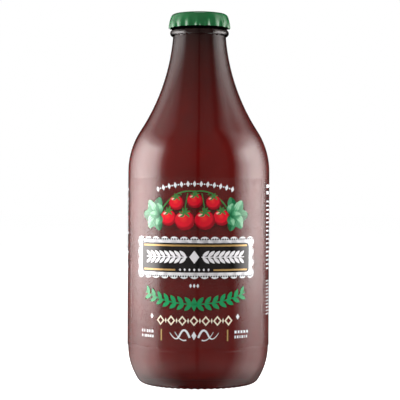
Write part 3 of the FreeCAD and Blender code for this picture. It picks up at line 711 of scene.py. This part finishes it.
plateValues = {
    "middle": 58.9, "panelWidth": 53.0, "panelHeight": 13.0, "frame": 1.6, "corner": 1.6,
    "scallop": 4.9, "scallopPitch": 4.55, "scallopsAcross": 12, "scallopsUp": 3,
    "hole": 0.74, "holeInset": 1.1, "holesPerScallop": 4, "holeSides": 8,
    "ruleInset": 1.15, "ruleHeight": 0.75, "ruleGap": 17.0,
    "motifRise": 0.3, "leaves": 8, "leafSpan": 17.0, "leafShift": 13.6, "leafRise": 1.45,
    "leafWidth": 1.5, "leafLength": 4.0, "leafPoint": 0.8, "leafTilt": 0.85, "leafSides": 20,
    "branchFrom": 3.2, "branchMiddle": 14, "branchTo": 23.6, "branchBow": 0.001,
    "branchWidth": 0.45,
    "lozengeWidth": 4.4, "lozengeHeight": 5.8,
    "dots": 7, "dotSpan": 12.6, "dotWidth": 1.0, "dotHeight": 1.3, "dotRise": 0.1,
}


def makePlate():
    v = plateValues
    for name, margin, ink, layer in (("frame", v["frame"], whiteInk, 0),
                                     ("panel", 0, blackInk, 1)):
        art = bmesh.new()
        fillOutline(art, roundedOutline(v["panelWidth"] + 2 * margin,
                                        v["panelHeight"] + 2 * margin, v["corner"],
                                        v["middle"]))
        layInk("print_plate_" + name, art, ink, layer=layer)
    # lace round the frame, with a row of small holes
    wide, tall = v["scallopsAcross"] * v["scallopPitch"], v["scallopsUp"] * v["scallopPitch"]
    layGrown("print_plate_scallops", beadTree, whiteInk, {
        "Width": wide, "Depth": tall, "Height": v["middle"], "Pitch": v["scallopPitch"],
        "Pearl": v["scallop"] / 2})
    outward = v["scallop"] - 2 * v["holeInset"]
    layGrown("print_plate_holes", beadTree, blackInk, {
        "Width": wide + outward, "Depth": tall + outward, "Height": v["middle"],
        "Pitch": v["scallopPitch"] / v["holesPerScallop"], "Pearl": v["hole"] / 2,
        "Sides": v["holeSides"]}, layer=2)
    end = v["panelWidth"] / 2 - v["ruleInset"]
    top = v["middle"] + v["panelHeight"] / 2 - v["ruleInset"]
    low = v["middle"] - v["panelHeight"] / 2 + v["ruleInset"]
    half = v["ruleHeight"] / 2
    art = bmesh.new()
    for left, right, height in ((-end, end, top), (-end, -v["ruleGap"] / 2, low),
                                (v["ruleGap"] / 2, end, low)):
        fillBox(art, left, right, height - half, height + half)
    layInk("print_plate_rules", art, goldInk, layer=2)
    # a branch of leaves runs out to both sides of a lozenge, where such plates carry words
    middle = v["middle"] + v["motifRise"]
    for name, side, up in (("upper_left", -1, 1), ("upper_right", 1, 1),
                           ("lower_left", -1, -1), ("lower_right", 1, -1)):
        layGrown("print_plate_leaves_" + name, rowTree, whiteInk, {
            "Count": v["leaves"], "Span": v["leafSpan"], "Bow": printValues["straight"],
            "Height": middle + up * v["leafRise"], "Shift": side * v["leafShift"],
            "Mark Width": v["leafWidth"], "Mark Height": v["leafLength"],
            "Point": v["leafPoint"], "Tilt": -side * up * v["leafTilt"],
            "Sides": v["leafSides"]}, layer=2)
    art = bmesh.new()
    for side in (-1, 1):
        drawRibbon(art, (side * v["branchFrom"], middle),
                   (side * v["branchMiddle"], middle + v["branchBow"]),
                   (side * v["branchTo"], middle), v["branchWidth"])
    fillLozenge(art, v["lozengeWidth"], v["lozengeHeight"], middle)
    layInk("print_plate_branch", art, whiteInk, layer=2)
    layGrown("print_plate_dots", rowTree, whiteInk, {
        **level, "Count": v["dots"], "Span": v["dotSpan"], "Height": low + v["dotRise"],
        "Mark Width": v["dotWidth"], "Mark Height": v["dotHeight"]}, layer=2)


makePlate()
print("plate done")

harvestValues = {
    # each fruit: across, height and radius, from the back row to the front
    "fruits": [(-8.2, 83.0, 3.3), (8.4, 83.2, 3.3), (0.2, 84.0, 3.4), (-11.9, 76.4, 3.7),
               (12.1, 76.6, 3.7), (-4.3, 75.2, 4.4), (4.6, 75.4, 4.4)],
    "fruitWidth": 1.02, "fruitHeight": 0.96, "fruitSteps": 40,
    "vines": [((-15.5, 79.5), (-9.0, 89.5), (0.2, 88.0)),
              ((0.2, 88.0), (9.0, 89.7), (15.5, 79.5))],
    "vineWidth": 0.6, "vineTop": 88.2, "vineFall": 0.2,
    "stalkWidth": 0.45, "stalkFrom": 0.7, "stalkBow": 0.95, "stalkRise": 2.0, "stalkTo": 0.8,
    # each leaf of the left sprig: length, width, heading, curl and whether it lies in shade
    "leafRoot": (-16.2, 77.8),
    "leaves": [(7.8, 5.0, 92, 0.12, True), (7.2, 4.8, 268, -0.12, True),
               (9.6, 6.4, 180, 0.05, True), (8.8, 5.6, 136, 0.12, False),
               (8.6, 5.6, 224, -0.12, False), (5.2, 3.6, 106, -0.1, False),
               (5.0, 3.6, 252, 0.1, False), (5.4, 3.4, 178, 0.05, False)],
    # the star of sepals on each fruit, in shares of the fruit's radius
    "sepals": (20, 62, 108, 160, 214, 322), "sepalsAt": 0.72, "sepalLength": 0.62,
    "sepalWidth": 0.2, "sepalCurl": 0.12, "sepalSteps": 8, "sepalLayer": 8,
}


def makeHarvest():
    v = harvestValues
    art = bmesh.new()
    for bow in v["vines"]:
        drawRibbon(art, *bow, v["vineWidth"])
    for across, height, radius in v["fruits"]:
        drawRibbon(art, (across * v["stalkFrom"], v["vineTop"] - abs(across) * v["vineFall"]),
                   (across * v["stalkBow"], height + radius + v["stalkRise"]),
                   (across, height + radius * v["stalkTo"]), v["stalkWidth"])
    layInk("print_vine", art, stemInk)
    for side in ("left", "right"):
        for number, (length, width, heading, curl, shaded) in enumerate(v["leaves"]):
            art = bmesh.new()
            drawLeaf(art, v["leafRoot"], length, width, heading, curl)
            if side == "right":
                bmesh.ops.scale(art, vec=(-1, 1, 1), verts=art.verts[:])
                bmesh.ops.reverse_faces(art, faces=art.faces[:])
            layInk("print_leaf_%s_%d" % (side, number), art,
                   basilShadeInk if shaded else basilInk, layer=number)
    for number, (across, height, radius) in enumerate(v["fruits"]):
        halfWidth, halfHeight = radius * v["fruitWidth"], radius * v["fruitHeight"]
        angles = [math.tau * i / v["fruitSteps"] for i in range(v["fruitSteps"])]
        art = bmesh.new()
        fillOutline(art, [(across + halfWidth * math.cos(a), height + halfHeight * math.sin(a))
                          for a in angles], (across, height, halfWidth, halfHeight))
        layInk("print_fruit_%d" % number, art, tomatoInk, layer=1 + number)
        art = bmesh.new()
        for heading in v["sepals"]:
            drawLeaf(art, (across, height + radius * v["sepalsAt"]), radius * v["sepalLength"],
                     radius * v["sepalWidth"], heading, v["sepalCurl"], v["sepalSteps"])
        layInk("print_calyx_%d" % number, art, stemInk, layer=v["sepalLayer"])


makeHarvest()
print("harvest print done")

footValues = {
    "low": 22.6, "high": 26.8, "goldAt": 15.2, "goldWidth": 0.6, "goldOver": 0.4,
    "tickAt": 22.6, "tickWidth": 7.8, "tickDrop": 0.8, "seeds": {"left": 1, "right": 3},
    "ticks": {"Lines": 2, "Line Pitch": 2.2, "Words": 12, "Word": 0.8, "Gap": 0.8,
              "Height": 1.2},
    # half of a pen flourish: the three points of each stroke, its width and its taper
    "strokes": [((1.9, -0.9), (4.2, 5.2), (6.4, 0.0), 0.95, 0.8),
                ((6.4, 0.0), (8.0, -3.4), (11.0, 1.2), 0.76, 0.25),
                ((3.4, -1.9), (6.0, -3.0), (8.6, 1.6), 0.6, 0.3)],
    "lozengeWidth": 2.2, "lozengeHeight": 3.8,
}


def makeFootPrint():
    v = footValues
    middle = (v["low"] + v["high"]) / 2
    bars, scroll = bmesh.new(), bmesh.new()
    for name, side in (("left", -1), ("right", 1)):
        layGrown("print_foot_ticks_" + name, linesTree, whiteInk, {
            **v["ticks"], "Left": side * v["tickAt"] - v["tickWidth"] / 2,
            "Top": v["high"] - v["tickDrop"], "Width": v["tickWidth"],
            "Seed": v["seeds"][name]})
        across, half = side * v["goldAt"], v["goldWidth"] / 2
        fillBox(bars, across - half, across + half, v["low"] - v["goldOver"],
                v["high"] + v["goldOver"])
        for *stroke, width, taper in v["strokes"]:
            drawRibbon(scroll, *[(side * x, middle + y) for x, y in stroke], width, taper)
    layInk("print_foot_bars", bars, goldInk)
    fillLozenge(scroll, v["lozengeWidth"], v["lozengeHeight"], middle)
    layInk("print_foot_scroll", scroll, whiteInk)


makeFootPrint()

# Small print on the back label. Left is measured round from the middle of the back.
backRows = {
    "print_back_left_title": {"Left": -61.0, "Top": 90.6, "Width": 24.0, "Lines": 2,
                              "Line Pitch": 3.0, "Word": 6.0, "Height": 1.5, "Seed": 4},
    "print_back_left": {"Left": -61.0, "Top": 83.6, "Width": 25.0, "Lines": 17,
                        "Line Pitch": 1.9, "Word": 3.4, "Height": 0.75, "Seed": 3},
    "print_back_left_fine": {"Left": -61.0, "Top": 47.5, "Width": 24.0, "Lines": 11,
                             "Line Pitch": 1.5, "Word": 2.4, "Height": 0.55, "Seed": 5},
    "print_back_right": {"Left": 35.5, "Top": 91.0, "Width": 25.6, "Lines": 20,
                         "Line Pitch": 2.2, "Word": 3.8, "Height": 0.95, "Seed": 8},
    "print_back_title": {"Left": -28.0, "Top": 88.0, "Width": 44.0, "Lines": 1,
                         "Line Pitch": 3.0, "Word": 9.0, "Height": 2.2, "Seed": 12},
    "print_back_middle": {"Left": -28.0, "Top": 83.4, "Width": 56.0, "Lines": 14,
                          "Line Pitch": 1.9, "Word": 3.6, "Height": 0.75, "Words": 20,
                          "Seed": 11},
}
for name, values in backRows.items():
    layGrown(name, linesTree, whiteInk, values, facing=math.pi)
print("foot and back print done")


# The studio: a light tent close round the bottle, a white table and the camera.

studioValues = {
    "turn": 3.2,                 # degrees the camera stands round from the label's middle
    "cameraReach": 0.625, "cameraHeight": 0.0887, "lens": 121.5, "roll": 0.27,
    "shiftX": 0.0031, "shiftY": -0.025,
    "tentReach": 0.15, "tentLow": -0.4, "tentHigh": 0.8, "tentRow": 0.008, "tentColumns": 240,
    "seenThrough": 0.1,          # share of the tent's light that shows through clear glass
    "floorSize": 8.0, "floorTone": 0.5, "floorGlow": 0.97, "fill": 0.05,
}

# Light on the tent's wall. The stops are (degrees right of the camera, brightness) and
# (height in metres, share of that brightness).
tentLights = {
    "leftSoftbox": {
        "colour": "#fffaf8",
        "round": [(-146, 0), (-138, 0.3), (-130, 1.2), (-120, 2.6), (-110, 4.7), (-100, 7.2),
                  (-90, 8.3), (-80, 8.8), (-70, 7.6), (-62, 4.6), (-56, 1.0), (-50, 0.2),
                  (-46, 0)],
        "upright": [(-0.1, 0), (-0.06, 0.08), (-0.02, 0.18), (0.015, 0.5), (0.04, 0.85),
                    (0.07, 1.0), (0.167, 1.0), (0.176, 0.75), (0.186, 0.4), (0.202, 0.15),
                    (0.222, 0)]},
    "leftWindow": {
        "colour": "#fffaf8",
        "round": [(-150, 0.1), (-136, 0.4), (-120, 0.8), (-85, 0.9), (-68, 0.5), (-56, 0)],
        "upright": [(0.175, 0), (0.2, 0.9), (0.24, 1.0), (0.28, 0.75), (0.36, 0.3), (0.6, 0.05)]},
    "rightInner": {
        "colour": "#fffaf8",
        "round": [(52, 0), (60, 1.5), (70, 5.0), (80, 6.6), (88, 3.0), (95, 0)],
        "upright": [(-0.1, 0), (-0.06, 0.1), (-0.02, 0.15), (0.015, 0.38), (0.04, 0.75),
                    (0.07, 0.95), (0.1, 1.0), (0.12, 1.0), (0.14, 1.2), (0.16, 1.15), (0.175, 0.7),
                    (0.19, 0.4), (0.22, 0.26), (0.25, 0.19), (0.3, 0.12), (0.4, 0.04), (0.6, 0)]},
    "rightOuter": {
        "colour": "#fffaf8",
        "round": [(76, 0), (80, 0.6), (88, 4.2), (95, 6.8), (100, 6.2), (110, 4.1), (120, 1.7),
                  (130, 0.3), (138, 0)],
        "upright": [(-0.1, 0), (-0.06, 0.1), (-0.02, 0.15), (0.015, 0.38), (0.04, 0.75),
                    (0.07, 0.95), (0.1, 1.0), (0.16, 1.0), (0.175, 0.75), (0.192, 0.46),
                    (0.212, 0.3), (0.235, 0.14), (0.26, 0.08), (0.3, 0.05), (0.6, 0)]},
    "frontFill": {
        "colour": "#ffefe9",
        "round": [(-150, 0.05), (-62, 0.25), (-45, 0.34), (-20, 0.34), (-8, 0.26), (-4, 0.24),
                  (-2.5, 0.03), (0.5, 0.03), (2, 0.24), (30, 0.27), (42, 0.2), (46, 0.1),
                  (54, 0.1), (60, 0.2), (110, 0.2), (150, 0.05)],
        "upright": [(-0.12, 0), (-0.07, 1.0), (0.2, 1.0), (0.3, 1.1), (0.8, 1.4)]},
    "tableGlow": {
        "colour": "#fff8f5",
        "round": [(-150, 0.4), (-138, 0.8), (-125, 1.1), (-110, 1.7), (-95, 2.1), (-80, 1.5),
                  (-65, 1.1), (-50, 0.6), (-30, 0.2), (25, 0.2), (50, 0.4), (65, 0.9), (80, 1.4),
                  (100, 1.2), (115, 0.8), (126, 0.3), (150, 0.1)],
        "upright": [(-0.4, 0.5), (-0.15, 0.7), (-0.09, 0.9), (-0.05, 1.0), (-0.02, 0.7),
                    (0.0, 0.2), (0.02, 0)]},
}


# Each lamp: metres right of the middle, towards the camera and up, size, watts, and whether
# it shows in reflections.
lamps = {
    "overhead": (0, 0, 1.1, 0.6, 2.0, True),
    "front": (0, 1.3, 0.3, 0.9, 8.0, False),
    "back": (0, -1.3, 0.3, 0.9, 8.0, False),
}


def between(stops, place):
    # value of a run of straight stretches through these stops, and nothing beyond them
    for (fromPlace, fromValue), (toPlace, toValue) in zip(stops, stops[1:]):
        if fromPlace <= place <= toPlace:
            return fromValue + (toValue - fromValue) * (place - fromPlace) / (toPlace - fromPlace)
    return 0.0


def placeStage(name, mesh, material):
    mesh.materials.append(material)
    piece = bpy.data.objects.new(name, mesh)
    bpy.context.scene.collection.objects.link(piece)
    return piece


def makeTent():
    # an upright tube round the bottle, whose wall glows by the tent's lights
    material, tree = startMaterial("litCloth")
    glow = addNode(tree, "ShaderNodeAttribute", attribute_name="glow", attribute_type="GEOMETRY")
    # dimmer where it is looked at straight through clear glass, at the base and the rims
    rays = addNode(tree, "ShaderNodeLightPath").outputs
    first = addNode(tree, "ShaderNodeMath", {0: rays["Diffuse Depth"], 1: 0.5},
                    operation="LESS_THAN")
    through = addNode(tree, "ShaderNodeMath", {0: rays["Is Transmission Ray"], 1: first},
                      operation="MULTIPLY")
    strength = addNode(tree, "ShaderNodeMapRange", {
        "Value": through, "To Min": 1.0, "To Max": studioValues["seenThrough"]})
    emission = addNode(tree, "ShaderNodeEmission", {
        "Color": glow.outputs["Color"], "Strength": strength})
    addNode(tree, "ShaderNodeOutputMaterial", {"Surface": emission})
    low, high = studioValues["tentLow"], studioValues["tentHigh"]
    columns = studioValues["tentColumns"]
    rows = round((high - low) / studioValues["tentRow"])
    colours = {name: linearColour(light["colour"]) for name, light in tentLights.items()}
    points, glows, faces = [], [], []
    for column in range(columns):
        bearing = 360 * column / columns - 180
        angle = math.radians(bearing + studioValues["turn"])
        for row in range(rows + 1):
            height = low + (high - low) * row / rows
            points.append((studioValues["tentReach"] * math.sin(angle),
                           -studioValues["tentReach"] * math.cos(angle), height))
            shares = {name: between(light["round"], bearing) * between(light["upright"], height)
                      for name, light in tentLights.items()}
            glows += [sum(shares[name] * colours[name][i] for name in shares)
                      for i in range(3)] + [1.0]
            if row < rows:
                here = column * (rows + 1) + row
                there = (column + 1) % columns * (rows + 1) + row
                faces.append((here, here + 1, there + 1, there))
    mesh = bpy.data.meshes.new("tent")
    mesh.from_pydata(points, [], faces)
    mesh.attributes.new("glow", "FLOAT_COLOR", "POINT").data.foreach_set("color", glows)
    tent = placeStage("tent", mesh, material)
    tent.visible_camera = False
    tent.visible_shadow = False


def makeStudio():
    scene = bpy.context.scene
    scene.view_settings.view_transform = "Standard"
    makeTent()

    white = (1, 1, 1, 1)
    turn = math.radians(studioValues["turn"])
    for name, (across, away, height, size, energy, glossy) in lamps.items():
        lamp = bpy.data.lights.new(name, "AREA")
        lamp.shape = "DISK"
        lamp.size = size
        lamp.energy = energy
        stand = bpy.data.objects.new(name, lamp)
        stand.location = Matrix.Rotation(turn, 4, "Z") @ Vector((across, -away, height))
        aim = Vector((0, 0, studioValues["cameraHeight"])) - stand.location
        stand.rotation_euler = aim.to_track_quat("-Z", "Y").to_euler()
        stand.visible_glossy = glossy
        stand.visible_transmission = False
        scene.collection.objects.link(stand)

    world = bpy.data.worlds.new("whiteSweep")
    world.use_nodes = True
    tree = world.node_tree
    tree.nodes.clear()
    # the backdrop looks white, yet adds only a little light of its own
    rays = addNode(tree, "ShaderNodeLightPath")
    dim = addNode(tree, "ShaderNodeBackground", {
        "Color": white, "Strength": studioValues["fill"]})
    bright = addNode(tree, "ShaderNodeBackground", {"Color": white, "Strength": 1.0})
    mixed = addNode(tree, "ShaderNodeMixShader", {
        0: rays.outputs["Is Camera Ray"], 1: dim, 2: bright})
    addNode(tree, "ShaderNodeOutputWorld", {"Surface": mixed})
    scene.world = world

    half = studioValues["floorSize"] / 2
    mesh = bpy.data.meshes.new("floor")
    corners = [(-half, -half, 0), (half, -half, 0), (half, half, 0), (-half, half, 0)]
    mesh.from_pydata(corners, [], [(0, 1, 2, 3)])
    material, tree = startMaterial("whiteTable")
    grey = studioValues["floorTone"]
    paint = addNode(tree, "ShaderNodeBsdfDiffuse", {"Color": (grey, grey, grey, 1)})
    glow = addNode(tree, "ShaderNodeEmission", {
        "Color": white, "Strength": studioValues["floorGlow"]})
    both = addNode(tree, "ShaderNodeAddShader", {0: paint, 1: glow})
    addNode(tree, "ShaderNodeOutputMaterial", {"Surface": both})
    floor = placeStage("floor", mesh, material)
    floor.visible_glossy = False
    floor.visible_transmission = False
    floor.visible_diffuse = False

    camera = bpy.data.cameras.new("camera")
    camera.lens = studioValues["lens"]
    camera.shift_x = studioValues["shiftX"]
    camera.shift_y = studioValues["shiftY"]
    view = bpy.data.objects.new("camera", camera)
    scene.collection.objects.link(view)
    reach = studioValues["cameraReach"]
    view.location = (reach * math.sin(turn), -reach * math.cos(turn),
                     studioValues["cameraHeight"])
    upright = Matrix.Rotation(turn, 4, "Z") @ Matrix.Rotation(math.pi / 2, 4, "X")
    roll = Matrix.Rotation(math.radians(studioValues["roll"]), 4, "Z")
    view.rotation_euler = (upright @ roll).to_euler()
    scene.camera = view


makeStudio()
print("studio done")
